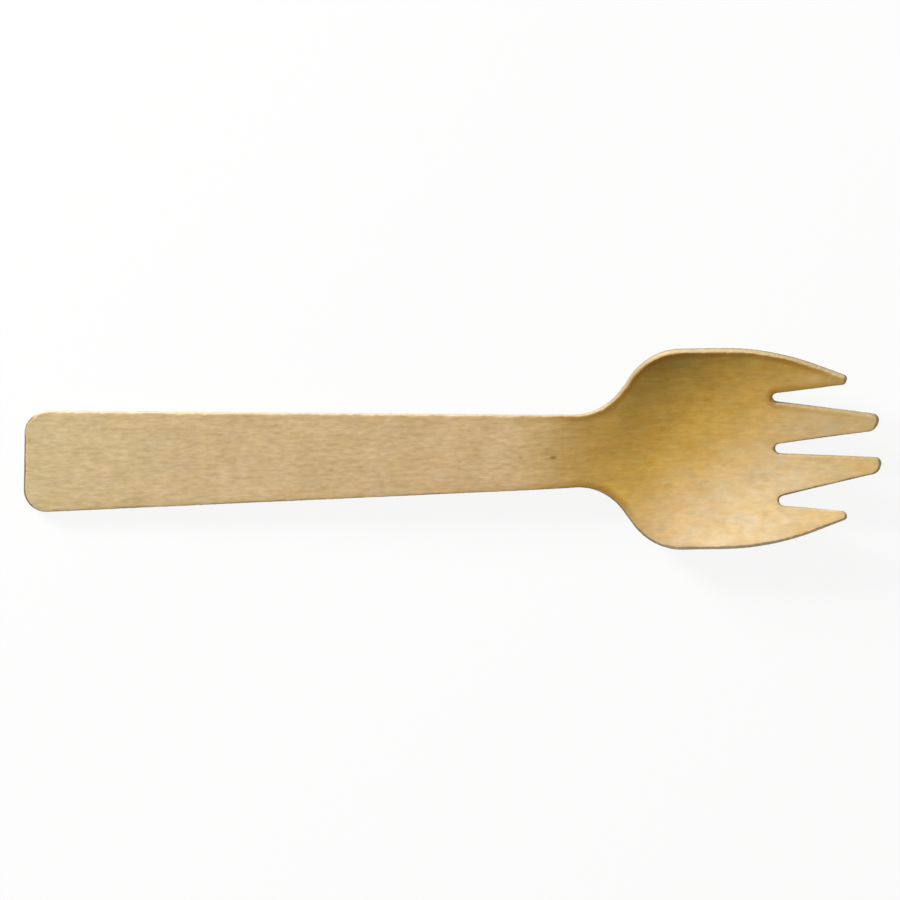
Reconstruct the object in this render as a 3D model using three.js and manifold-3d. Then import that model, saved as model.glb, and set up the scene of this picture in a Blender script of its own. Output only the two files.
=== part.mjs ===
// A disposable wooden spork: a blank die-cut from one sheet of birch veneer, then pressed so that
// its head becomes a shallow bowl with four tines.
// Millimetres, +Z up. The spork lies as it rests on a table, tines towards +X, underside on Z = 0,
// with the origin under the middle of its box.

import * as THREE from "three";
import { mergeVertices } from "three/addons/utils/BufferGeometryUtils.js";
import Module from "manifold-3d";

// Overall sizes
const LENGTH = 140; // handle end to the tips of the two inner tines
const HEAD_WIDTH = 32.7;
const THICKNESS = 1.4; // of the veneer

// Handle
const END_WIDTH = 16.8;
const END_SKEW = 2.6; // degrees: the end is cut a little out of square
const END_CORNER_RADIUS = 3.7;
const NECK_WIDTH = 11.7; // where the tapering sides would meet the shoulders
const NECK_TO_TIPS = 44.8;
const NECK_RADIUS = 9.4;

// Head, seen from above
const SHOULDER_TO_TIPS = 37.4;
const SHOULDER_RADIUS = 10.1;
const FRONT_TO_TIPS = 17.8; // where the head starts to narrow again
const FRONT_RADIUS = 49;

// Tines and the slots between them
const SLOT_DEPTH = 16; // centre of a slot's round root to the tips
const SLOT_RADIUS = 0.82;
const SLOT_SKEW = 2.8; // degrees: the slots are cut a little out of line with the handle
const SLOT_OFFSET = -0.3; // and a little off its centre line
const OUTER_TINE_WIDTH = 7; // at the slot roots
const OUTER_TINE_SETBACK = 3; // its corner stands this far behind the inner tips
const OUTER_TINE_INSET = 5.6; // and this far inside the widest part of the head
const OUTER_TIP_RADIUS = 0.72;
const INNER_TIP_SPACING = 7; // between the middles of the two inner tips
const INNER_TIP_WIDTH = 2.5;
const INNER_TIP_SLANT = 22; // degrees: both inner tips are longer on their +Y side
const INNER_TIP_RADIUS = 1.6;

// Form of the press, as heights of the sheet's middle over the flat handle
const DIP_TO_TIPS = 58; // where the head starts to dip below the handle
const LOWEST_TO_TIPS = 31;
const DIP = 3;
const TIP_RISE = 4.6; // of the inner tips over the lowest point
const CUP_TO_TIPS = 35; // from here to the tips the head is cupped in full
const CUP_RADIUS = 42; // across the head

// Fineness of the facets
const CELL = 1.6; // ruling of the sheet where it is pressed
const ARC_DIVISIONS = 5; // half the facets of each rounded corner of the outline
const SHORTEST_EDGE = 0.02; // what is finer is merged
const SLOPE_STEP = 0.01; // over which the slope of the pressed sheet is taken
const SHEET_MARGIN = 2; // the sheet is this much larger than the blank on each side

const wasm = await Module();
wasm.setup();

// Where the line from a through b meets the line from c through d
function meeting(a, b, c, d) {
  const along = b.clone().sub(a);
  const other = d.clone().sub(c);
  const share = c.clone().sub(a).cross(other) / along.cross(other);
  return a.clone().addScaledVector(along, share);
}

// A closed outline through corners that are each rounded by their own radius, or by the largest
// that their shorter side can take if that is less
function roundedOutline(corners) {
  const shape = new THREE.Shape();
  corners.forEach(({ at, radius }, i) => {
    const toLast = corners.at(i - 1).at.clone().sub(at);
    const toNext = corners[(i + 1) % corners.length].at.clone().sub(at);
    const halfAngle = toLast.angleTo(toNext) / 2;
    const longestCut = Math.min(toLast.length(), toNext.length()) / 2;
    const r = Math.min(radius, longestCut * Math.tan(halfAngle));
    const inwards = toLast.clone().normalize().add(toNext.clone().normalize()).normalize();
    const centre = at.clone().addScaledVector(inwards, r / Math.sin(halfAngle));
    const turnsRight = toLast.cross(toNext) > 0;
    const sweep = (Math.PI / 2 - halfAngle) * (turnsRight ? -1 : 1);
    const middle = Math.atan2(-inwards.y, -inwards.x);
    shape.absarc(centre.x, centre.y, r, middle - sweep, middle + sweep, turnsRight);
  });
  shape.closePath();
  return shape;
}

// A corner of the tine pattern, given as a distance from the slot roots and one from its middle
function patternPoint(x, y) {
  const middle = new THREE.Vector2(LENGTH - SLOT_DEPTH, SLOT_OFFSET);
  const skew = THREE.MathUtils.degToRad(SLOT_SKEW);
  return new THREE.Vector2(x, y).add(middle).rotateAround(middle, skew);
}

// The corners of one half of the head's front, from the outer tine to the middle slot, where
// side is 1 for +Y and -1 for -Y
function frontOf(side) {
  const slotPitch = HEAD_WIDTH / 2 - OUTER_TINE_WIDTH - SLOT_RADIUS;
  const outerTip = new THREE.Vector2(
    LENGTH - OUTER_TINE_SETBACK,
    side * (HEAD_WIDTH / 2 - OUTER_TINE_INSET),
  );
  const outerRoot = patternPoint(0, side * (slotPitch + SLOT_RADIUS));
  const innerRoot = patternPoint(0, side * (slotPitch - SLOT_RADIUS));
  const middleRoot = patternPoint(0, side * SLOT_RADIUS);
  const slant = Math.tan(THREE.MathUtils.degToRad(INNER_TIP_SLANT));
  const tipCorner = (across) =>
    patternPoint(SLOT_DEPTH + slant * across, (side * INNER_TIP_SPACING) / 2 + across);
  const tipFarSide = tipCorner((side * INNER_TIP_WIDTH) / 2);
  const tipNearSide = tipCorner((-side * INNER_TIP_WIDTH) / 2);
  return {
    corners: [
      { at: outerTip, radius: OUTER_TIP_RADIUS },
      { at: meeting(outerRoot, outerTip, innerRoot, tipFarSide), radius: SLOT_RADIUS },
      { at: tipFarSide, radius: INNER_TIP_RADIUS },
      { at: tipNearSide, radius: INNER_TIP_RADIUS },
    ],
    middleSide: [middleRoot, tipNearSide],
  };
}

// The corners of the handle and the head's flank on one side, from the handle end forwards
function flankOf(side) {
  const corner = (x, width, radius) => ({ at: new THREE.Vector2(x, (side * width) / 2), radius });
  const endShift = ((side * END_WIDTH) / 2) * Math.tan(THREE.MathUtils.degToRad(END_SKEW));
  return [
    corner(endShift, END_WIDTH, END_CORNER_RADIUS),
    corner(LENGTH - NECK_TO_TIPS, NECK_WIDTH, NECK_RADIUS),
    corner(LENGTH - SHOULDER_TO_TIPS, HEAD_WIDTH, SHOULDER_RADIUS),
    corner(LENGTH - FRONT_TO_TIPS, HEAD_WIDTH, FRONT_RADIUS),
  ];
}

function blankOutline() {
  const right = frontOf(-1);
  const left = frontOf(1);
  const middleSlot = { at: meeting(...right.middleSide, ...left.middleSide), radius: SLOT_RADIUS };
  return roundedOutline([
    ...flankOf(-1),
    ...right.corners,
    middleSlot,
    ...left.corners.reverse(),
    ...flankOf(1).reverse(),
  ]);
}

// A closed geometry as a solid that can be cut. Where faceNumbers are given, triangles of one
// number may become one flat face, and edges between unlike numbers stay.
function solidOf(geometry, faceNumbers) {
  const bare = new THREE.BufferGeometry();
  bare.setAttribute("position", geometry.getAttribute("position"));
  bare.setIndex(geometry.getIndex());
  const merged = mergeVertices(bare);
  const mesh = new wasm.Mesh({
    numProp: 3,
    vertProperties: new Float32Array(merged.getAttribute("position").array),
    triVerts: new Uint32Array(merged.getIndex().array),
    faceID: faceNumbers,
  });
  return new wasm.Manifold(mesh);
}

// The flat sheet, ruled into cells that the press can bend. Over the handle, which stays flat,
// the first column of cells is one long flat face.
function sheet() {
  const start = LENGTH - DIP_TO_TIPS;
  const across = HEAD_WIDTH + 2 * SHEET_MARGIN;
  const columns = 1 + Math.ceil((DIP_TO_TIPS + SHEET_MARGIN) / CELL);
  const rows = Math.ceil(across / CELL);
  const box = new THREE.BoxGeometry(columns * CELL, across, THICKNESS, columns, rows, 1);
  box.translate(start + (columns / 2 - 1) * CELL, 0, 0);

  const position = box.getAttribute("position");
  for (let i = 0; i < position.count; i++) {
    if (position.getX(i) < start - CELL / 2) position.setX(i, -SHEET_MARGIN);
  }

  const corners = box.getIndex().array;
  const faceNumbers = new Uint32Array(corners.length / 3);
  for (let face = 0; face < faceNumbers.length; face++) {
    const ofFace = [...corners.subarray(3 * face, 3 * face + 3)];
    const isFlat = ofFace.every((corner) => position.getX(corner) < start + CELL / 2);
    const isTop = ofFace.every((corner) => position.getZ(corner) > 0);
    faceNumbers[face] = isFlat ? Number(isTop) : 2 + face;
  }
  return solidOf(box, faceNumbers);
}

// The flat blank: what the cutting die leaves of the sheet
function blank() {
  const die = new THREE.ExtrudeGeometry(blankOutline(), {
    depth: THICKNESS + 2 * SHEET_MARGIN,
    bevelEnabled: false,
    curveSegments: ARC_DIVISIONS,
  });
  die.translate(0, 0, -THICKNESS / 2 - SHEET_MARGIN);
  const cut = sheet().intersect(solidOf(die)).simplify(SHORTEST_EDGE).getMesh();
  const geometry = new THREE.BufferGeometry();
  geometry.setAttribute("position", new THREE.BufferAttribute(cut.vertProperties, 3));
  geometry.setIndex(new THREE.BufferAttribute(cut.triVerts, 1));
  return geometry;
}

// Height of the sheet's middle over the flat handle once it is pressed
function pressedHeight(x, y) {
  const start = LENGTH - DIP_TO_TIPS;
  const lowest = LENGTH - LOWEST_TO_TIPS;
  const beyond = Math.max(0, x - lowest) / LOWEST_TO_TIPS;
  const centreLine = TIP_RISE * beyond ** 2 - DIP * THREE.MathUtils.smoothstep(x, start, lowest);
  const cupping = THREE.MathUtils.smoothstep(x, start, LENGTH - CUP_TO_TIPS);
  return centreLine + cupping * (CUP_RADIUS - Math.sqrt(CUP_RADIUS ** 2 - y ** 2));
}

// The press bends the sheet and leaves its thickness, so the cut edges stay square to its face
function press(geometry) {
  const position = geometry.getAttribute("position");
  for (let i = 0; i < position.count; i++) {
    const [x, y, z] = [position.getX(i), position.getY(i), position.getZ(i)];
    const height = pressedHeight(x, y);
    const slopeX = (pressedHeight(x + SLOPE_STEP, y) - height) / SLOPE_STEP;
    const slopeY = (pressedHeight(x, y + SLOPE_STEP) - height) / SLOPE_STEP;
    const point = new THREE.Vector3(-slopeX, -slopeY, 1).setLength(z);
    point.add(new THREE.Vector3(x, y, height));
    position.setXYZ(i, point.x, point.y, point.z);
  }
  return geometry;
}

// Lays the pressed spork on the table: it rests on the lower edge of the handle end and on the
// underside of the bowl
function layDown(geometry) {
  const position = geometry.getAttribute("position");
  let lowestSlope = 0;
  for (let i = 0; i < position.count; i++) {
    const x = position.getX(i);
    if (x > LENGTH - DIP_TO_TIPS) {
      lowestSlope = Math.min(lowestSlope, (position.getZ(i) + THICKNESS / 2) / x);
    }
  }
  geometry.rotateY(Math.atan(lowestSlope));
  geometry.computeBoundingBox();
  const { min, max } = geometry.boundingBox;
  geometry.translate(-(min.x + max.x) / 2, -(min.y + max.y) / 2, -min.z);
  return geometry;
}

const birch = new THREE.MeshStandardMaterial({ color: 0xccb27e, roughness: 0.7, metalness: 0 });

const sporkGeometry = layDown(press(blank()));
sporkGeometry.computeVertexNormals();

const spork = new THREE.Mesh(sporkGeometry, birch);
spork.name = "spork";

const part = new THREE.Group();
part.add(spork);

export default part;
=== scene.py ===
# A disposable wooden spork, die-cut from birch veneer and pressed, on a pale studio floor.
import cmath
import math
from collections import namedtuple

import bpy
import numpy as np
from mathutils import Matrix, Vector
from mathutils.geometry import delaunay_2d_cdt
from mathutils.kdtree import KDTree

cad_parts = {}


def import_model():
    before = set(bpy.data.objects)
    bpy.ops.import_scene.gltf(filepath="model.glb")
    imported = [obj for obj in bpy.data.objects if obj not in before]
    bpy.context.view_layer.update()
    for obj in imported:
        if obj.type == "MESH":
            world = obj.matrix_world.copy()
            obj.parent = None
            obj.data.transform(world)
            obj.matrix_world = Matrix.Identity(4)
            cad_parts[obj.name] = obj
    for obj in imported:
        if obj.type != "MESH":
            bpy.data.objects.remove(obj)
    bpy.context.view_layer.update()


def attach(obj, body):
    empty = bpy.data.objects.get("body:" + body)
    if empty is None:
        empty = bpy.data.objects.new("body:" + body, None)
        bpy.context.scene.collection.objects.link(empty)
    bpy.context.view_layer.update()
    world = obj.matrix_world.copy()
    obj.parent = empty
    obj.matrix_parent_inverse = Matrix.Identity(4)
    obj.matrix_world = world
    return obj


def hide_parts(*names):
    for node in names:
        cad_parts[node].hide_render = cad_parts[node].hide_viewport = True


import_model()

# All sizes below are in millimetres, and this turns them into metres
MM = 0.001

# A smooth step, by where it starts and where it ends
Step = namedtuple("Step", "start end")

# Overall sizes of the flat blank: x runs from the handle end to the tips, y to the left side, and
# z is 0 in mid-sheet
LENGTH = 140
HEAD_WIDTH = 32.7
THICKNESS = 1.4

# Handle
END_WIDTH = 16.8
END_SKEW = math.radians(2.6)
END_CORNER_RADIUS = 3.7
NECK_WIDTH = 11.7
NECK_TO_TIPS = 44.8
NECK_RADIUS = 9.4

# Head, seen from above
SHOULDER_TO_TIPS = 37.4
SHOULDER_RADIUS = 10.1
FRONT_TO_TIPS = 17.8
FRONT_RADIUS = 49

# Tines and the slots between them
SLOT_DEPTH = 16
SLOT_RADIUS = 0.82
SLOT_SKEW = math.radians(2.8)
SLOT_OFFSET = -0.3
OUTER_TINE_WIDTH = 7
OUTER_TINE_SETBACK = 3
OUTER_TINE_INSET = 5.6
OUTER_TIP_RADIUS = 0.72
INNER_TIP_SPACING = 7
INNER_TIP_WIDTH = 2.5
INNER_TIP_SLANT = math.radians(22)
INNER_TIP_RADIUS = 1.6

# Form of the press, as heights of the sheet's middle over the flat handle
PRESS = {
    "Dip start": LENGTH - 58,
    "Lowest point": LENGTH - 31,
    "Dip": 3,
    "Tips": LENGTH,
    "Tip rise": 4.6,
    "Cup in full": LENGTH - 35,
    "Cup radius": 42,
}

# Cut edge: the upper arris is worn unevenly, more where the die cut across the fibres and a
# little more on the left side than on the right
SIDE_ARRIS = 0.27
END_ARRIS = 0.38
ARRIS_LEAN = 0.2
ARRIS_UNEVENNESS = 0.55
ARRIS_WAVES = (2.6, 0.7)
ARRIS_SEED = 7
BOTTOM_ARRIS = 0.16

# A small chip in the left shoulder
CHIP_PLACE = 98.8 + 10.6j
CHIP_SPREAD = 0.6
CHIP_DEPTH = 0.1

# Fibres torn out of the cut wall: how deep, how close together along, across and down the sheet,
# how fine their noise is, and where in it the tearing starts and is full
TORN_DEPTH = 0.07
TORN_CLOSENESS = (0.35, 2.6, 3.4)
TORN_DETAIL = 3
TORN_ROUGHNESS = 0.7
TORN_NOISE = Step(0.3, 0.8)

# The veneer isn't quite flat. The seed is the one of its waves and of the torn fibres.
WARP = 0.09
WARP_LENGTH = 24
PRESS_SEED = 4.0

# Fineness of the mesh
DRAWING_STEP = 0.04
EDGE_STEP = 0.16
ARRIS_STEPS = 4
WALL_STEPS = 6
FACE_STEP = 0.62
FACE_MARGIN = 0.62
SLOPE_STEP = 0.01

# Triangles are kept inside the outline only, and points nearer than this are one
INSIDE_ONLY = 1
SAME_POINT = 1e-6

# Figure of the veneer: length and width of its marks, how fine their detail is, a place in the
# noise that no other figure uses, and how strong they are
Figure = namedtuple("Figure", "length width detail place strength")
CLOUDS = Figure(30, 9, 1, 11, 0.10)
MOTTLE = Figure(6, 3, 1, 3, 0.22)
MARKS = Figure(1.6, 0.6, 1, 17, 0.5)
PATCHES = Figure(1.7, 1.1, 1, 73, 0.34)
STREAKS = Figure(7, 0.45, 1, 23, 0.14)
FIBRES = Figure(1.8, 0.16, 1, 29, 0.09)
VESSELS = Figure(1.7, 0.22, 0, 41, 0.12)
WARMTH = Figure(3.4, 1.9, 1, 53, 1)
LAYERS = Figure(2.4, 0.2, 1, 67, 0.9)
FIGURE_ROUGHNESS = 0.6

# A vessel shows where its noise is this high
VESSEL_NOISE = Step(0.64, 0.76)

# Where the figure darkens the wood, it does so in these parts of red, green and blue, and where
# it warms the wood, in those
BROWNING = (0.9, 1.02, 1.45)
WARMING = (0.04, -0.05, -0.26)

# From the handle into the bowl the lines turn into patches, and the warmth varies more
INTO_BOWL = Step(82, 102)
LINES_LOST = 0.7
WARMTH_GAINED = 1.4

# The head carries painted shade, a golden tint, behind and to the left of a slanting line through
# the bowl, where it faces away from the lamp. On the other side of the line it is paler by these
# parts of red, green and blue, a painted highlight, and less so along the tines.
SHADE_LINE_SLANT = math.radians(35)
SHADE_LINE_MIDDLE = (112.3, -2.5)
GOLDEN_SHADE_ACROSS = Step(-6.5, 6.5)
GOLDEN_SHADE_ALONG = Step(77, 98)
PALE_HIGHLIGHT_ACROSS = Step(3, 13)
HIGHLIGHT_PALENESS = 0.9
HIGHLIGHT_PALENESS_LOST = 0.5
HIGHLIGHT_LOST_ALONG = Step(116, 130)
HIGHLIGHT_PALING = (1.1, 1.19, 1.38)

# Painted shade: the golden-shaded wood is darker still in the hollow inside the rim
HOLLOW_STARTS = Step(96, 104)
HOLLOW_ENDS = Step(106, 118)
HOLLOW_INSET = Step(1, 7)
HOLLOW_SHADE_DARKNESS = 0.24

# The faces are burnished along their edges, and in the golden-shaded part painted shade darkens them much
# more inside the rim
BURNISH_AND_SHADE_INSET = Step(0.3, 1.6)
BURNISHING = 0.08
GOLDEN_RIM_SHADE = 0.6

# Dark flecks in the handle's upper face: their place, length and width, and their strength
FLECKS = [
    ((86.6, -0.9), (0.9, 0.42), 0.62),
    ((81.4, -0.8), (0.6, 0.25), 0.3),
    ((71.4, -1.3), (0.5, 0.22), 0.3),
    ((64.0, 0.5), (0.4, 0.2), 0.25),
]
FLECK_BLUR = Step(0.3, 1)

# The cut wall's colour follows how far it faces to the right, forwards or backwards: painted light
# where it faces away from the lamp and painted shade where it faces it. The handle end (darker end
# grain with painted shade), the slots and the part near the underside (painted shade) have colours
# of their own.
TO_RIGHT = Step(0.1, 0.8)
FORWARDS = Step(0.35, 0.9)
BACKWARDS = Step(0.2, 0.8)
END_BACKWARDS = Step(0.4, 0.95)
END_ALONG = Step(6, 12)
SLOTS_ALONG = Step(120, 123)
SLOTS_ACROSS = Step(10, 10.6)
LOWER_HEIGHT = Step(-0.6, -0.1)
LOWER_SHADE_STRENGTH = 0.85
LOWER_SHADE_LOST_TO_RIGHT = 0.7
LAYERS_SHOWN = 0.75

# How much of a point belongs to the cut wall where the wall's layers and its colour set in
LAYERS_SET_IN = Step(0, 0.2)
WALL_SETS_IN = Step(0.25, 0.6)

# Gloss, and the depth of the relief, in which the fine figures count for more
ROUGHNESS = 0.78
WALL_ROUGHNESS = 0.1
SPECULAR_LEVEL = 0.12
RELIEF_DEPTH = 0.04
FINE_RELIEF = 2

# Colours are red, green and blue from 0 to 255. Those of the faces follow each other from the
# handle end to the tips, each at a share of the length.
FACE_COLOURS = [
    (0, (195, 174, 131)),
    (0.5, (202, 172, 128)),
    (0.8, (203, 174, 127)),
    (0.9, (196, 168, 121)),
    # The darker last stop is painted shade on the tips, which the lamp lights more as the tines rise
    (1, (178, 150, 98)),
]
GOLDEN_SHADE_COLOUR = (205, 165, 80)
VESSEL_COLOUR = (150, 112, 66)
FLECK_COLOUR = (108, 74, 38)
# Burnish along the edges, and painted shade inside the rim where the head is shaded golden
BURNISH_AND_SHADE_COLOUR = (152, 102, 28)

# Colours of the cut wall: in general; with painted shade where the head is shaded golden; with
# painted light where it faces right; with painted shade in the slots, and painted light in them where
# it faces right; with painted light where it faces forwards; darker end grain with painted shade where
# it faces backwards and at the handle end; and painted shade near the underside
WALL_COLOUR = (182, 167, 142)
GOLDEN_SHADE_WALL_COLOUR = (175, 156, 117)
RIGHT_WALL_LIT_COLOUR = (232, 214, 176)
SLOT_SHADE_COLOUR = (160, 140, 104)
RIGHT_SLOT_LIT_COLOUR = (206, 186, 142)
FRONT_LIT_COLOUR = (214, 190, 144)
REAR_END_GRAIN_AND_SHADE_COLOUR = (140, 124, 94)
END_GRAIN_AND_SHADE_COLOUR = (106, 90, 68)
LOWER_SHADE_COLOUR = (112, 96, 76)

# Camera: how far it leans to the left side and turns round its line of sight, how far away it
# is, and which place on the handle it shows at which pixel of the photograph
VIEW_TILT = math.radians(5.5)
VIEW_ROLL = math.radians(1.064)
VIEW_DISTANCE = 700
VIEW_TARGET = 70
TARGET_PIXEL = (451.35, 453.85)
PHOTO_SIZE = 900
PIXELS_PER_MM = 6.103
SENSOR = 36
NEAREST_SEEN = 10
FARTHEST_SEEN = 20000

# Key lamp, a soft square: the direction that it stands in, how far away it is, its size, and its
# power in watts
KEY_AZIMUTH = math.radians(138)
KEY_ELEVATION = math.radians(17)
KEY_DISTANCE = 750
KEY_SIZE = 220
KEY_POWER = 13.2

# Light from all round. The floor is pale paper to the light, and mostly white glow to the eye.
FILL_COLOUR = (1, 0.95, 0.86, 1)
FILL_STRENGTH = 0.27
WHITE = (1, 1, 1, 1)
FLOOR_COLOUR = (0.85, 0.85, 0.85, 1)
FLOOR_GLOW = 0.9
FLOOR_SIZE = 6000


class Wire:
    """A node's output. Arithmetic on it adds Math nodes, or Vector Math nodes for vectors and
    colours."""

    def __init__(self, socket):
        self.socket = socket

    def __getitem__(self, name):
        """Another output of the same node."""
        return Wire(self.socket.node.outputs[name])

    def is_vector(self):
        return self.socket.type in ("VECTOR", "RGBA")

    def __add__(self, other):
        return calculate("ADD", self, other)

    def __radd__(self, other):
        return calculate("ADD", other, self)

    def __sub__(self, other):
        return calculate("SUBTRACT", self, other)

    def __rsub__(self, other):
        return calculate("SUBTRACT", other, self)

    def __mul__(self, other):
        return calculate("MULTIPLY", self, other)

    def __rmul__(self, other):
        return calculate("MULTIPLY", other, self)

    def __truediv__(self, other):
        return calculate("DIVIDE", self, other)

    def __rtruediv__(self, other):
        return calculate("DIVIDE", other, self)

    def __abs__(self):
        return calculate("ABSOLUTE", self)

    def length(self):
        """How long a vector is."""
        return calculate("LENGTH", self)["Value"]


def calculate(operation, *values):
    """The result of a Math node, or of a Vector Math node where one of the values is a vector."""
    wires = [value for value in values if isinstance(value, Wire)]
    is_vector = any(isinstance(value, tuple) for value in values) or any(wire.is_vector() for wire in wires)
    kind = "ShaderNodeVectorMath" if is_vector else "ShaderNodeMath"
    return add_node(wires[0].socket.id_data, kind, {"operation": operation}, dict(enumerate(values)))


def input_of(node, key):
    """An input of a node by its place, its identifier or its name."""
    if isinstance(key, int):
        return node.inputs[key]
    identified = [socket for socket in node.inputs if socket.identifier == key]
    return identified[0] if identified else node.inputs[key]


def add_node(tree, kind, settings=None, values=None, output=0):
    """Adds a node, with its settings first and then the values or links of its inputs, and gives
    one of its outputs."""
    node = tree.nodes.new(kind)
    for name, value in (settings or {}).items():
        if name == "stops":
            fill_ramp(node.color_ramp.elements, value)
        else:
            setattr(node, name, value)
    for key, value in (values or {}).items():
        socket = input_of(node, key)
        if isinstance(value, Wire):
            tree.links.new(value.socket, socket)
        elif socket.type == "VECTOR" and isinstance(value, (int, float)):
            socket.default_value = (value, value, value)
        else:
            socket.default_value = value
    if isinstance(output, str):
        return Wire(next(socket for socket in node.outputs if output in (socket.identifier, socket.name)))
    return Wire(node.outputs[output]) if node.outputs else None


def fill_ramp(elements, stops):
    """Gives a colour ramp its stops, each a place from 0 to 1 and a colour."""
    while len(elements) < len(stops):
        elements.new(1)
    for element, (place, colour) in zip(elements, stops):
        element.position = place
        element.color = colour


def smoothly(value, step):
    """0 before the start of a step and 1 past its end, with a smooth rise between them."""
    settings = {"interpolation_type": "SMOOTHSTEP"}
    values = {"Value": value, "From Min": step.start, "From Max": step.end}
    return add_node(value.socket.id_data, "ShaderNodeMapRange", settings, values)


def parts_of(vector):
    """The parts X, Y and Z of a vector, by their names."""
    return add_node(vector.socket.id_data, "ShaderNodeSeparateXYZ", values={"Vector": vector})


def vector_of(tree, **parts):
    """A vector from its parts X, Y and Z, where one that isn't given is 0."""
    return add_node(tree, "ShaderNodeCombineXYZ", values=parts)


def group_inputs(tree, names, kind="NodeSocketFloat"):
    """Adds inputs of one kind to a node group."""
    for name in names:
        tree.interface.new_socket(name, in_out="INPUT", socket_type=kind)


def emptied_tree(owner):
    """The node tree of a material or a world, with nothing in it yet."""
    owner.use_nodes = True
    owner.node_tree.nodes.clear()
    return owner.node_tree


def add_object(name, data):
    """A new object in the scene."""
    added = bpy.data.objects.new(name, data)
    bpy.context.collection.objects.link(added)
    return added


# Outline of the blank, where a point of the flat sheet is a complex number x + iy


def meeting(a, b, c, d):
    """Where the line from a through b meets the line from c through d."""
    along = b - a
    other = d - c
    share = ((c - a).conjugate() * other).imag / (along.conjugate() * other).imag
    return a + share * along


def pattern_point(x, y):
    """A corner of the tine pattern, given as a distance from the slot roots and one from its middle."""
    return LENGTH - SLOT_DEPTH + 1j * SLOT_OFFSET + (x + 1j * y) * cmath.exp(1j * SLOT_SKEW)


def front_of(side):
    """The corners of one half of the head's front, from the outer tine to the middle slot, and the
    near side of its inner tine."""
    pitch = HEAD_WIDTH / 2 - OUTER_TINE_WIDTH - SLOT_RADIUS
    outer_tip = LENGTH - OUTER_TINE_SETBACK + 1j * side * (HEAD_WIDTH / 2 - OUTER_TINE_INSET)
    outer_root = pattern_point(0, side * (pitch + SLOT_RADIUS))
    inner_root = pattern_point(0, side * (pitch - SLOT_RADIUS))
    middle_root = pattern_point(0, side * SLOT_RADIUS)

    def tip_corner(across):
        along = SLOT_DEPTH + math.tan(INNER_TIP_SLANT) * across
        return pattern_point(along, side * INNER_TIP_SPACING / 2 + across)

    tip_far_side = tip_corner(side * INNER_TIP_WIDTH / 2)
    tip_near_side = tip_corner(-side * INNER_TIP_WIDTH / 2)
    corners = [
        (outer_tip, OUTER_TIP_RADIUS),
        (meeting(outer_root, outer_tip, inner_root, tip_far_side), SLOT_RADIUS),
        (tip_far_side, INNER_TIP_RADIUS),
        (tip_near_side, INNER_TIP_RADIUS),
    ]
    return corners, (middle_root, tip_near_side)


def flank_of(side):
    """The corners of the handle and the head's flank on one side, from the handle end forwards."""
    return [
        (side * END_WIDTH / 2 * (math.tan(END_SKEW) + 1j), END_CORNER_RADIUS),
        (LENGTH - NECK_TO_TIPS + 0.5j * side * NECK_WIDTH, NECK_RADIUS),
        (LENGTH - SHOULDER_TO_TIPS + 0.5j * side * HEAD_WIDTH, SHOULDER_RADIUS),
        (LENGTH - FRONT_TO_TIPS + 0.5j * side * HEAD_WIDTH, FRONT_RADIUS),
    ]


def rounded_outline(corners, step):
    """Points of a closed outline through corners that are each rounded by their own radius, or by
    the largest that their shorter side can take if that is less."""
    points = []
    for i, (corner, radius) in enumerate(corners):
        to_last = corners[i - 1][0] - corner
        to_next = corners[(i + 1) % len(corners)][0] - corner
        angle = cmath.phase(to_next / to_last)
        half_angle = abs(angle) / 2
        longest_cut = min(abs(to_last), abs(to_next)) / 2
        r = min(radius, longest_cut * math.tan(half_angle))
        inwards = to_last / abs(to_last) + to_next / abs(to_next)
        inwards /= abs(inwards)
        centre = corner + inwards * r / math.sin(half_angle)
        sweep = math.copysign(math.pi / 2 - half_angle, -angle)
        middle = cmath.phase(-inwards)
        count = 2 + int(2 * abs(sweep) * r / step)
        points.extend(centre + r * np.exp(1j * np.linspace(middle - sweep, middle + sweep, count)))
    return np.array(points)


def evenly_spaced(points, step):
    """Points at even steps along a closed outline."""
    closed = np.append(points, points[0])
    along = np.append(0, np.cumsum(np.abs(np.diff(closed))))
    places = np.linspace(0, along[-1], round(along[-1] / step), endpoint=False)
    return np.interp(places, along, closed)


def blank_outline():
    """The outline that the die cuts, counterclockwise, and at each point the way out of it."""
    right_corners, right_side = front_of(-1)
    left_corners, left_side = front_of(1)
    middle_slot = (meeting(*right_side, *left_side), SLOT_RADIUS)
    corners = [
        *flank_of(-1),
        *right_corners,
        middle_slot,
        *reversed(left_corners),
        *reversed(flank_of(1)),
    ]
    outline = evenly_spaced(rounded_outline(corners, DRAWING_STEP), EDGE_STEP)
    along = np.roll(outline, -1) - np.roll(outline, 1)
    outwards = -1j * along / np.abs(along)
    chip = CHIP_DEPTH * np.exp(-((np.abs(outline - CHIP_PLACE) / CHIP_SPREAD) ** 2))
    return outline - chip * outwards, outwards


# The blank as a mesh


def unevenness(outline, wave, random):
    """Smooth random values from -1 to 1 along the closed outline, a new one for each wave."""
    count = round(len(outline) * EDGE_STEP / wave)
    values = random.uniform(-1, 1, count)
    place = np.arange(len(outline)) * count / len(outline)
    before = place.astype(int)
    share = place - before
    share = share * share * (3 - 2 * share)
    return values[before] * (1 - share) + values[(before + 1) % count] * share


def top_arris(outline, outwards):
    """The radius of the upper arris all along the outline."""
    random = np.random.default_rng(ARRIS_SEED)
    uneven = sum(unevenness(outline, wave, random) for wave in ARRIS_WAVES) / len(ARRIS_WAVES)
    across_fibres = outwards.real**2
    radius = SIDE_ARRIS + (END_ARRIS - SIDE_ARRIS) * across_fibres
    return radius * (1 + ARRIS_LEAN * outwards.imag) * (1 + ARRIS_UNEVENNESS * uneven)


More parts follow.
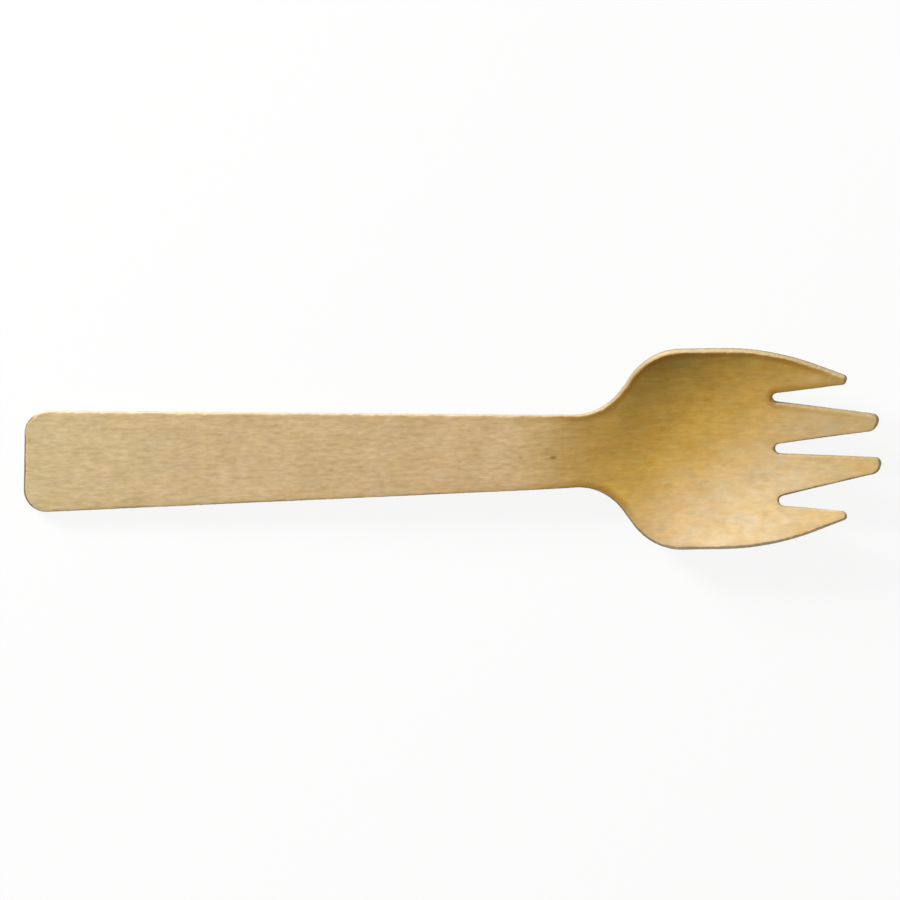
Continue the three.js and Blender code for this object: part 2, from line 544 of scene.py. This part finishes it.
def edge_rings(arris):
    """The rings of the cut edge, from the top face to the underside. Each says how far it lies
    inside the outline, its height, and how much it belongs to the cut wall, at every point."""
    top = THICKNESS / 2
    level = np.zeros_like(arris)
    turn = np.linspace(0, math.pi / 2, ARRIS_STEPS + 1)
    rings = [(level + FACE_MARGIN, level + top, level)]
    for angle in turn:
        height = top - arris * (1 - math.cos(angle))
        rings.append((arris * (1 - math.sin(angle)), height, level + math.sin(angle)))
    for share in np.linspace(0, 1, WALL_STEPS + 1)[1:-1]:
        height = (top - arris) * (1 - share) + (BOTTOM_ARRIS - top) * share
        rings.append((level, height, level + 1))
    for angle in reversed(turn):
        inset = BOTTOM_ARRIS * (1 - math.sin(angle))
        height = BOTTOM_ARRIS * (1 - math.cos(angle)) - top
        rings.append((level + inset, level + height, level + math.sin(angle)))
    rings.append((level + FACE_MARGIN, level - top, level))
    return rings


def face_points(outline, outwards):
    """A triangular grid of points inside the outline, and how far inside it each lies."""
    tree = KDTree(len(outline))
    for i, point in enumerate(outline):
        tree.insert((point.real, point.imag, 0), i)
    tree.balance()
    points = []
    insets = []
    row_step = FACE_STEP * math.sqrt(3) / 2
    rows = int(HEAD_WIDTH / 2 / row_step)
    for row in range(-rows, rows + 1):
        start = FACE_STEP / 2 * (row % 2)
        for x in np.arange(start, LENGTH, FACE_STEP):
            point = complex(x, row * row_step)
            i, distance = tree.find((point.real, point.imag, 0))[1:]
            is_inside = ((point - outline[i]) * outwards[i].conjugate()).real < 0
            if is_inside and distance > FACE_MARGIN + FACE_STEP / 2:
                points.append(point)
                insets.append(distance)
    return np.array(points), np.array(insets)


def edge_faces(ring_count, count):
    """The faces of the cut edge, between each ring of points and the next one down."""
    faces = []
    for upper in range(0, (ring_count - 1) * count, count):
        lower = upper + count
        for i in range(count):
            after = (i + 1) % count
            faces.append((upper + i, lower + i, lower + after, upper + after))
    return faces


def flat_faces(ring, grid, ring_count):
    """The triangles of the upper face and the underside, between the outermost ring on each and
    its own copy of the grid."""
    count = len(ring)
    inner = np.concatenate((ring, grid))
    loop = [(i, (i + 1) % count) for i in range(count)]
    corners = [Vector((point.real, point.imag)) for point in inner]
    triangles = delaunay_2d_cdt(corners, loop, [], INSIDE_ONLY, SAME_POINT)[2]
    last_ring = (ring_count - 1) * count
    first_grid = last_ring + count
    faces = []
    for triangle in triangles:
        a, b, c = inner[list(triangle)]
        if ((b - a).conjugate() * (c - a)).imag < 0:
            triangle = triangle[::-1]
        top = [i if i < count else first_grid + i - count for i in triangle]
        bottom = [last_ring + i if i < count else first_grid + len(grid) + i - count for i in triangle]
        faces.append(top)
        faces.append(bottom[::-1])
    return faces


def blank():
    """The flat blank as a mesh in millimetres. Its points say how far they lie inside the outline,
    how much they belong to the cut wall, and which way is out."""
    outline, outwards = blank_outline()
    grid, grid_insets = face_points(outline, outwards)
    rings = edge_rings(top_arris(outline, outwards))
    nothing = np.zeros(2 * len(grid))

    flat = [outline - inset * outwards for inset, height, cut in rings] + [grid, grid]
    heights = [height for inset, height, cut in rings]
    heights += [np.full(len(grid), side * THICKNESS / 2) for side in (1, -1)]
    cuts = [cut for inset, height, cut in rings] + [nothing]
    insets = [inset for inset, height, cut in rings] + [grid_insets, grid_insets]
    outs = [outwards] * len(rings) + [nothing]
    faces = edge_faces(len(rings), len(outline)) + flat_faces(flat[0], grid, len(rings))
    flat, heights, cuts, insets, outs = map(np.concatenate, (flat, heights, cuts, insets, outs))

    mesh = bpy.data.meshes.new("blank")
    mesh.from_pydata(np.column_stack((flat.real, flat.imag, heights)), [], faces)
    for name, kind, key, values in (
        ("inset", "FLOAT", "value", insets),
        ("cut", "FLOAT", "value", cuts),
        ("outwards", "FLOAT_VECTOR", "vector", np.column_stack((outs.real, outs.imag, 0 * outs.real))),
    ):
        mesh.attributes.new(name, kind, "POINT").data.foreach_set(key, values.ravel())
    return mesh


# The press


def pressed_height_group():
    """A node group that gives the height of the sheet's middle over the flat handle."""
    tree = bpy.data.node_groups.new("pressed height", "GeometryNodeTree")
    group_inputs(tree, ["Place"], "NodeSocketVector")
    group_inputs(tree, PRESS)
    tree.interface.new_socket("Height", in_out="OUTPUT", socket_type="NodeSocketFloat")
    size = add_node(tree, "NodeGroupInput")
    place = parts_of(size["Place"])
    x, y = place["X"], place["Y"]
    radius = size["Cup radius"]
    past_lowest = calculate("MAXIMUM", x - size["Lowest point"], 0)
    to_tips = past_lowest / (size["Tips"] - size["Lowest point"])
    dip = size["Dip"] * smoothly(x, Step(size["Dip start"], size["Lowest point"]))
    centre_line = size["Tip rise"] * to_tips * to_tips - dip
    cup = radius - calculate("SQRT", radius * radius - y * y)
    height = centre_line + smoothly(x, Step(size["Dip start"], size["Cup in full"])) * cup
    add_node(tree, "NodeGroupOutput", values={"Height": height})
    return tree


def named_attribute(tree, name, kind):
    """A named attribute of the mesh's points."""
    return add_node(tree, "GeometryNodeInputNamedAttribute", {"data_type": kind}, {"Name": name})


def seeded_noise(place, seed, values):
    """Noise from 0 to 1 that is another one for another seed."""
    values = {"Vector": place, "W": seed, **values}
    return add_node(place.socket.id_data, "ShaderNodeTexNoise", {"noise_dimensions": "4D"}, values)


def worn_place(tree, size, place):
    """Each point of the blank once fibres are torn out of the cut wall, along the grain and only
    ever inwards, and the sheet waves a little."""
    fineness = {"Detail": TORN_DETAIL, "Roughness": TORN_ROUGHNESS}
    fibres = seeded_noise(place * TORN_CLOSENESS, size["Seed"], fineness)
    cut = named_attribute(tree, "cut", "FLOAT")
    outwards = named_attribute(tree, "outwards", "FLOAT_VECTOR")
    torn = smoothly(fibres, TORN_NOISE) * cut * size["Torn depth"]
    wave = seeded_noise(place / size["Warp length"], size["Seed"] + 1, {"Detail": 0})
    return place - outwards * torn + vector_of(tree, Z=(wave - 0.5) * size["Warp"])


def pressed_place(tree, size, place):
    """Each point where the press puts it: square to the sheet's middle, at its own height over it."""
    height_group = pressed_height_group()

    def height_at(shift_x, shift_y):
        sizes = {name: size[name] for name in PRESS}
        sizes["Place"] = place + (shift_x, shift_y, 0)
        return add_node(tree, "GeometryNodeGroup", {"node_tree": height_group}, sizes)

    height = height_at(0, 0)
    slope_x = (height_at(SLOPE_STEP, 0) - height) / SLOPE_STEP
    slope_y = (height_at(0, SLOPE_STEP) - height) / SLOPE_STEP
    square_to_sheet = calculate("NORMALIZE", vector_of(tree, X=0 - slope_x, Y=0 - slope_y, Z=1))
    level = parts_of(place)
    return vector_of(tree, X=level["X"], Y=level["Y"], Z=height) + square_to_sheet * level["Z"]


def laid_down(tree, size, place, pressed):
    """The spork in metres as it rests, on the lower edge of the handle end and on the underside
    of the bowl, with the middle of its box over the origin."""
    now = parts_of(place)
    lowest_slope = add_node(
        tree,
        "GeometryNodeAttributeStatistic",
        {"data_type": "FLOAT"},
        {
            "Geometry": pressed,
            "Selection": calculate("GREATER_THAN", now["X"], size["Dip start"]),
            "Attribute": (now["Z"] + size["Thickness"] / 2) / now["X"],
        },
        "Min",
    )
    tilt = vector_of(tree, Y=calculate("ARCTANGENT", lowest_slope))
    turned = add_node(tree, "GeometryNodeTransform", values={"Geometry": pressed, "Rotation": tilt})
    box = add_node(tree, "GeometryNodeBoundBox", values={"Geometry": turned})
    middle = parts_of((box["Min"] + box["Max"]) / 2)
    origin = vector_of(tree, X=middle["X"], Y=middle["Y"], Z=parts_of(box["Min"])["Z"])
    values = {"Geometry": turned, "Translation": origin * -MM, "Scale": (MM, MM, MM)}
    return add_node(tree, "GeometryNodeTransform", values=values)


def press_tree():
    """The press: bends the flat blank, lays the spork down as it rests and turns it into metres."""
    tree = bpy.data.node_groups.new("press", "GeometryNodeTree")
    group_inputs(tree, ["Geometry"], "NodeSocketGeometry")
    group_inputs(tree, [*PRESS, "Thickness", "Torn depth", "Warp", "Warp length", "Seed"])
    group_inputs(tree, ["Material"], "NodeSocketMaterial")
    tree.interface.new_socket("Geometry", in_out="OUTPUT", socket_type="NodeSocketGeometry")
    size = add_node(tree, "NodeGroupInput")
    place = add_node(tree, "GeometryNodeInputPosition")
    flat = add_node(
        tree,
        "GeometryNodeStoreNamedAttribute",
        {"data_type": "FLOAT_VECTOR", "domain": "POINT"},
        {"Geometry": size["Geometry"], "Name": "flat", "Value": place},
    )
    bent = pressed_place(tree, size, worn_place(tree, size, place))
    pressed = add_node(tree, "GeometryNodeSetPosition", values={"Geometry": flat, "Position": bent})
    laid = laid_down(tree, size, place, pressed)
    smooth = add_node(tree, "GeometryNodeSetShadeSmooth", values={"Geometry": laid})
    real = add_node(tree, "GeometryNodeRealizeInstances", values={"Geometry": smooth})
    values = {"Geometry": real, "Material": size["Material"]}
    finished = add_node(tree, "GeometryNodeSetMaterial", values=values)
    add_node(tree, "NodeGroupOutput", values={"Geometry": finished})
    return tree


def pressed_piece(name, mesh, tree, sizes):
    """The result of a geometry tree on a mesh, as a piece with a plain mesh of its own."""
    source = add_object(name + "_source", mesh)
    modifier = source.modifiers.new("press", "NODES")
    modifier.node_group = tree
    for socket in tree.interface.items_tree:
        if socket.in_out == "INPUT" and socket.name in sizes:
            modifier[socket.identifier] = sizes[socket.name]
    evaluated = source.evaluated_get(bpy.context.evaluated_depsgraph_get())
    finished = bpy.data.meshes.new_from_object(evaluated)
    finished.name = name
    source.modifiers.remove(modifier)
    bpy.data.objects.remove(source)
    return add_object(name, finished)


# Finishes


def srgb(colour):
    """A colour as a picture gives it, from 0 to 255, as the shader's linear one."""
    return tuple((((part / 255) + 0.055) / 1.055) ** 2.4 for part in colour) + (1,)


def noise(place, figure):
    """Noise in a figure of the veneer, from 0 to 1."""
    tree = place.socket.id_data
    stretched = add_node(
        tree,
        "ShaderNodeMapping",
        values={
            "Vector": place,
            "Location": (figure.place, 2 * figure.place, 3 * figure.place),
            "Scale": (1 / figure.length, 1 / figure.width, 1 / figure.width),
        },
    )
    values = {"Vector": stretched, "Scale": 1, "Detail": figure.detail, "Roughness": FIGURE_ROUGHNESS}
    return add_node(tree, "ShaderNodeTexNoise", values=values)


def shade(place, figure):
    """How much a figure lightens or darkens, round 0."""
    return (noise(place, figure) - 0.5) * figure.strength


def mix(share, first, second):
    """A colour between two others."""
    values = {"Factor_Float": share, "A_Color": first, "B_Color": second}
    tree = share.socket.id_data
    return add_node(tree, "ShaderNodeMix", {"data_type": "RGBA"}, values, "Result_Color")


def attribute(tree, name, output):
    """What the mesh says at each point."""
    return add_node(tree, "ShaderNodeAttribute", {"attribute_name": name}, output=output)


def painted_shade_and_highlight(x, y):
    """How strongly the head carries painted shade as a golden tint, fully behind and to the left of a
    slanting line through the bowl, and a pale painted highlight, fully ahead and to the right of it."""
    middle_x, middle_y = SHADE_LINE_MIDDLE
    across = (y - middle_y) * math.cos(SHADE_LINE_SLANT) - (x - middle_x) * math.sin(SHADE_LINE_SLANT)
    golden_shade = smoothly(across, GOLDEN_SHADE_ACROSS) * smoothly(x, GOLDEN_SHADE_ALONG)
    return golden_shade, smoothly(0 - across, PALE_HIGHLIGHT_ACROSS)


def base_colour(x, golden_shade, pale_highlight):
    """The plain colour of the faces before their figure, with the golden painted shade and the pale painted
    highlight.
    """
    stops = [(share, srgb(colour)) for share, colour in FACE_COLOURS]
    colour = add_node(x.socket.id_data, "ShaderNodeValToRGB", {"stops": stops}, {"Fac": x / LENGTH})
    # Painted shade: a golden tint where the bowl faces away from the lamp
    colour = mix(golden_shade, colour, srgb(GOLDEN_SHADE_COLOUR))
    # Painted highlight: paler where the bowl faces the lamp
    highlight_share = pale_highlight * (HIGHLIGHT_PALENESS - smoothly(x, HIGHLIGHT_LOST_ALONG) * HIGHLIGHT_PALENESS_LOST)
    return mix(highlight_share, colour, colour * HIGHLIGHT_PALING)


def face_colour(flat, x, inset, golden_shade, pale_highlight):
    """Colour of the veneer's faces, with their figure, flecks, painted shade in the hollow, and burnished
    edges that painted shade darkens further inside the rim where the head is shaded golden.
    """
    colour = base_colour(x, golden_shade, pale_highlight)
    in_bowl = smoothly(x, INTO_BOWL)
    lines = shade(flat, MARKS) + shade(flat, STREAKS)
    marks = lines * (1 - in_bowl * LINES_LOST) + shade(flat, PATCHES) * in_bowl
    marks = marks + shade(flat, CLOUDS) + shade(flat, MOTTLE)
    colour = colour * (1 + marks * BROWNING) * (1 + shade(flat, FIBRES) * BROWNING)
    warmth = shade(flat, WARMTH) * (1 + in_bowl * WARMTH_GAINED)
    colour = colour * (1 + warmth * WARMING)

    vessels = smoothly(noise(flat, VESSELS), VESSEL_NOISE)
    colour = mix(vessels * VESSELS.strength, colour, srgb(VESSEL_COLOUR))
    for (fleck_x, fleck_y), (length, width), strength in FLECKS:
        away = (flat - (fleck_x, fleck_y, THICKNESS / 2)) * (1 / length, 1 / width, 1)
        fleck = (1 - smoothly(away.length(), FLECK_BLUR)) * strength
        colour = mix(fleck, colour, srgb(FLECK_COLOUR))

    # Painted shade in the hollow inside the rim
    hollow_shade = golden_shade * (1 - smoothly(inset, HOLLOW_INSET))
    hollow_shade = hollow_shade * smoothly(x, HOLLOW_STARTS) * (1 - smoothly(x, HOLLOW_ENDS))
    colour = colour * (1 - hollow_shade * HOLLOW_SHADE_DARKNESS)
    # Burnish along the edges, and much more painted shade there where the head is shaded golden
    burnish_and_rim_shade = 1 - smoothly(inset, BURNISH_AND_SHADE_INSET)
    burnish_and_rim_shade = burnish_and_rim_shade * (BURNISHING + golden_shade * GOLDEN_RIM_SHADE)
    return mix(burnish_and_rim_shade, colour, srgb(BURNISH_AND_SHADE_COLOUR))


def wall_colour(place, way, golden_shade, at_end, layers):
    """Colour of the cut wall: pale torn fibres, with painted light where it faces away from the lamp,
    painted shade where it faces the lamp, in the slots and at the lower arris, and darker end grain
    where the die cut across the fibres."""
    to_right = smoothly(0 - way["Y"], TO_RIGHT)
    # Painted shade where the head is shaded golden
    colour = mix(golden_shade, srgb(WALL_COLOUR), srgb(GOLDEN_SHADE_WALL_COLOUR))
    # Painted light where the wall faces right, away from the lamp
    colour = mix(to_right, colour, srgb(RIGHT_WALL_LIT_COLOUR))
    in_slots = smoothly(place["X"], SLOTS_ALONG) * (1 - smoothly(abs(place["Y"]), SLOTS_ACROSS))
    # Painted shade in the slots, where one tine shades the next, with painted light where the wall faces
    # right
    colour = mix(in_slots, colour, mix(to_right, srgb(SLOT_SHADE_COLOUR), srgb(RIGHT_SLOT_LIT_COLOUR)))
    # Painted light where the wall faces forwards, away from the lamp
    colour = mix(smoothly(way["X"], FORWARDS), colour, srgb(FRONT_LIT_COLOUR))
    # Partly darker end grain and partly painted shade where the wall faces backwards, towards the lamp
    colour = mix(smoothly(0 - way["X"], BACKWARDS), colour, srgb(REAR_END_GRAIN_AND_SHADE_COLOUR))
    # The handle end: darker end grain with painted shade where it faces the lamp
    colour = mix(at_end, colour, srgb(END_GRAIN_AND_SHADE_COLOUR))
    # Painted shade along the lower part of the wall, towards the underside
    lower = 1 - smoothly(place["Z"], LOWER_HEIGHT)
    lower = lower * (LOWER_SHADE_STRENGTH - to_right * LOWER_SHADE_LOST_TO_RIGHT)
    colour = mix(lower, colour, srgb(LOWER_SHADE_COLOUR))
    return colour * (1 + layers * LAYERS_SHOWN)


def birch_material():
    """Birch veneer with short soft marks along the sheet, and its cut edge."""
    material = bpy.data.materials.new("birch")
    tree = emptied_tree(material)
    flat = attribute(tree, "flat", "Vector")
    inset = attribute(tree, "inset", "Fac")
    cut = attribute(tree, "cut", "Fac")
    way = parts_of(attribute(tree, "outwards", "Vector"))
    place = parts_of(flat)
    x, y = place["X"], place["Y"]

    at_end = smoothly(0 - way["X"], END_BACKWARDS) * (1 - smoothly(x, END_ALONG))
    layers = shade(flat, LAYERS)
    edge = smoothly(cut * (1 + at_end) + layers * smoothly(cut, LAYERS_SET_IN), WALL_SETS_IN)
    golden_shade, pale_highlight = painted_shade_and_highlight(x, y)
    on_faces = face_colour(flat, x, inset, golden_shade, pale_highlight)
    on_wall = wall_colour(place, way, golden_shade, at_end, layers)
    fibres = shade(flat, FIBRES)
    relief = shade(flat, MARKS) + shade(flat, STREAKS) * FINE_RELIEF + fibres * FINE_RELIEF + layers * edge
    values = {"Strength": 1, "Distance": RELIEF_DEPTH * MM, "Height": relief}
    bump = add_node(tree, "ShaderNodeBump", values=values)
    shader = add_node(
        tree,
        "ShaderNodeBsdfPrincipled",
        values={
            "Base Color": mix(edge, on_faces, on_wall),
            "Roughness": ROUGHNESS + fibres + edge * WALL_ROUGHNESS,
            "Normal": bump,
            "Specular IOR Level": SPECULAR_LEVEL,
        },
    )
    add_node(tree, "ShaderNodeOutputMaterial", values={"Surface": shader})
    return material


# Studio


def handle_as_laid(piece):
    """The turn, and the shift in metres, that take a place on the flat handle to where it lies."""
    flat = piece.data.attributes["flat"].data
    before = np.empty(3 * len(flat))
    after = np.empty(3 * len(flat))
    flat.foreach_get("vector", before)
    piece.data.vertices.foreach_get("co", after)
    before = before.reshape(-1, 3)
    after = after.reshape(-1, 3)
    on_handle = before[:, 0] < PRESS["Dip start"]
    padded = np.column_stack((before[on_handle], np.ones(on_handle.sum())))
    solution = np.linalg.lstsq(padded, after[on_handle], rcond=None)[0]
    along = Vector(solution[0]).normalized()
    across = Vector(solution[1])
    across = (across - across.dot(along) * along).normalized()
    turn = Matrix((along, across, along.cross(across))).transposed()
    return turn, Vector(solution[3])


def camera(piece):
    """The camera looks down on the spork as the photograph does."""
    turn, shift = handle_as_laid(piece)
    towards = Vector((0, math.sin(VIEW_TILT), math.cos(VIEW_TILT)))
    right = Vector((0, 1, 0)).cross(towards).normalized()
    up = towards.cross(right)
    picture_right = right * math.cos(VIEW_ROLL) - up * math.sin(VIEW_ROLL)
    picture_up = right * math.sin(VIEW_ROLL) + up * math.cos(VIEW_ROLL)
    aside = (TARGET_PIXEL[0] - PHOTO_SIZE / 2) / PIXELS_PER_MM
    below = (TARGET_PIXEL[1] - PHOTO_SIZE / 2) / PIXELS_PER_MM
    place = Vector((VIEW_TARGET, 0, 0)) - picture_right * aside + picture_up * below
    place += towards * VIEW_DISTANCE
    data = bpy.data.cameras.new("camera")
    data.sensor_width = SENSOR
    data.lens = SENSOR * VIEW_DISTANCE * PIXELS_PER_MM / PHOTO_SIZE
    data.clip_start = NEAREST_SEEN * MM
    data.clip_end = FARTHEST_SEEN * MM
    view = add_object("camera", data)
    axes = Matrix((turn @ picture_right, turn @ picture_up, turn @ towards)).transposed()
    view.matrix_world = Matrix.Translation(turn @ place * MM + shift) @ axes.to_4x4()
    bpy.context.scene.camera = view


def key_lamp():
    """The lamp that shines on the spork, low over the left side of its handle end."""
    data = bpy.data.lights.new("key", "AREA")
    data.size = KEY_SIZE * MM
    data.energy = KEY_POWER
    lamp = add_object("key", data)
    level = math.cos(KEY_ELEVATION)
    towards = Vector(
        (
            math.cos(KEY_AZIMUTH) * level,
            math.sin(KEY_AZIMUTH) * level,
            math.sin(KEY_ELEVATION),
        )
    )
    lamp.location = towards * (KEY_DISTANCE * MM)
    lamp.rotation_euler = towards.to_track_quat("Z", "Y").to_euler()


def background_share(tree):
    """1 for what the camera sees straight, in a mirror or through glass."""
    path = add_node(tree, "ShaderNodeLightPath")
    seen = calculate("MAXIMUM", path["Is Camera Ray"], path["Is Glossy Ray"])
    return calculate("MAXIMUM", seen, path["Is Transmission Ray"])


def floor():
    """A pale floor that looks nearly white and keeps the soft shadow."""
    half = FLOOR_SIZE / 2 * MM
    mesh = bpy.data.meshes.new("floor")
    corners = [(-half, -half, 0), (half, -half, 0), (half, half, 0), (-half, half, 0)]
    mesh.from_pydata(corners, [], [(0, 1, 2, 3)])
    material = bpy.data.materials.new("floor")
    tree = emptied_tree(material)
    paper = add_node(tree, "ShaderNodeBsdfDiffuse", values={"Color": FLOOR_COLOUR})
    glow = add_node(tree, "ShaderNodeEmission", values={"Color": WHITE, "Strength": 1})
    share = background_share(tree) * FLOOR_GLOW
    mixed = add_node(tree, "ShaderNodeMixShader", values={0: share, 1: paper, 2: glow})
    add_node(tree, "ShaderNodeOutputMaterial", values={"Surface": mixed})
    mesh.materials.append(material)
    ground = add_object("floor", mesh)


def world():
    """White where the camera sees it, and a weaker, slightly warm light all round."""
    surroundings = bpy.data.worlds.new("studio")
    bpy.context.scene.world = surroundings
    tree = emptied_tree(surroundings)
    values = {"Color": FILL_COLOUR, "Strength": FILL_STRENGTH}
    fill = add_node(tree, "ShaderNodeBackground", values=values)
    white = add_node(tree, "ShaderNodeBackground", values={"Color": WHITE, "Strength": 1})
    share = background_share(tree)
    mixed = add_node(tree, "ShaderNodeMixShader", values={0: share, 1: fill, 2: white})
    add_node(tree, "ShaderNodeOutputWorld", values={"Surface": mixed})


sizes = {
    **PRESS,
    "Thickness": THICKNESS,
    "Torn depth": TORN_DEPTH,
    "Warp": WARP,
    "Warp length": WARP_LENGTH,
    "Seed": PRESS_SEED,
    "Material": birch_material(),
}
spork = pressed_piece("birch_spork", blank(), press_tree(), sizes)
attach(spork, "root")
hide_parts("spork")

camera(spork)
floor()
world()
key_lamp()
bpy.context.scene.view_settings.view_transform = "Standard"
